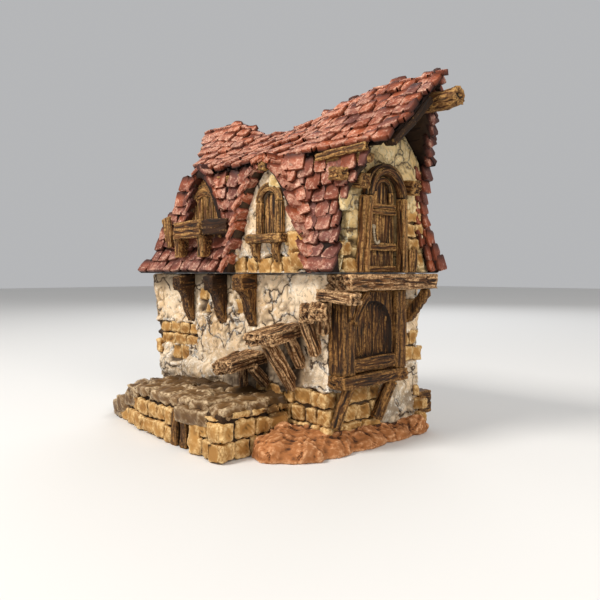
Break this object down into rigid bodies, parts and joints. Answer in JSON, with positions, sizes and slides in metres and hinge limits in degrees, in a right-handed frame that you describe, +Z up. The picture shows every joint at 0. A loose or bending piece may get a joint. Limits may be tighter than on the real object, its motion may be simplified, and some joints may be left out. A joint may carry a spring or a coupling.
{
  "type": "half-timbered house, a printed and painted tabletop model in two storeys",
  "caption": "Crooked storybook house model: plaster and stone ground storey with plank stair and bay, and a lift-off tiled upper storey with sagging ridge, dormers and arched door.",
  "frame": {"origin": "centre of the outer box, on the surface the model stands on", "axes": "+Z up, +X along the ridge towards the arched door and prow, +Y from the stair side to the back"},
  "size_m": [0.184, 0.115, 0.155],
  "materials": {
    "plaster": "matt cream paint with a brown wash in the cracks",
    "stone": "matt ochre paint with a dark wash between the stones",
    "wood": "matt brown paint, dry brushed light along the grain",
    "tile": "matt terracotta paint with paler edges",
    "earth": "matt red-brown paint"
  },
  "bodies": {
    "house": {"base_plate": "earth", "earth_skirt": "earth", "stone_platform": "stone", "cellar_posts": "wood", "front_wall": "plaster", "back_wall": "plaster", "left_wall": "plaster", "right_wall": "plaster", "bracket_1": "wood", "bracket_2": "wood", "bracket_3": "wood", "tread_1": "wood", "tread_2": "wood", "tread_3": "wood", "tread_4": "wood", "stair_struts": "wood", "landing_beam": "wood", "landing_brace": "wood", "bay_sill": "wood", "bay_posts": "wood", "bay_boards": "wood", "bay_struts": "wood", "back_timber": "wood"},
    "roof": {"upper_floor": "wood", "right_gable": "plaster", "left_gable": "plaster", "roof_front_left": "tile", "roof_front_right": "tile", "roof_back": "tile", "roof_upper_front": "tile", "roof_upper_back": "tile", "ridge_beam": "wood", "purlins": "wood", "door_frame": "wood", "door_leaf": "wood", "left_hood": "tile", "left_planks": "wood", "balcony": "wood", "middle_wall": "plaster", "middle_hood": "tile", "middle_frame": "wood", "middle_shutter": "wood", "middle_sill": "wood", "corner_timber": "wood"}
  },
  "joints": [
    {"name": "roof_lift", "type": "slide", "parent": "house", "child": "roof", "axis": [0, 0, 1], "range_m": [0, 0.12]}
  ]
}
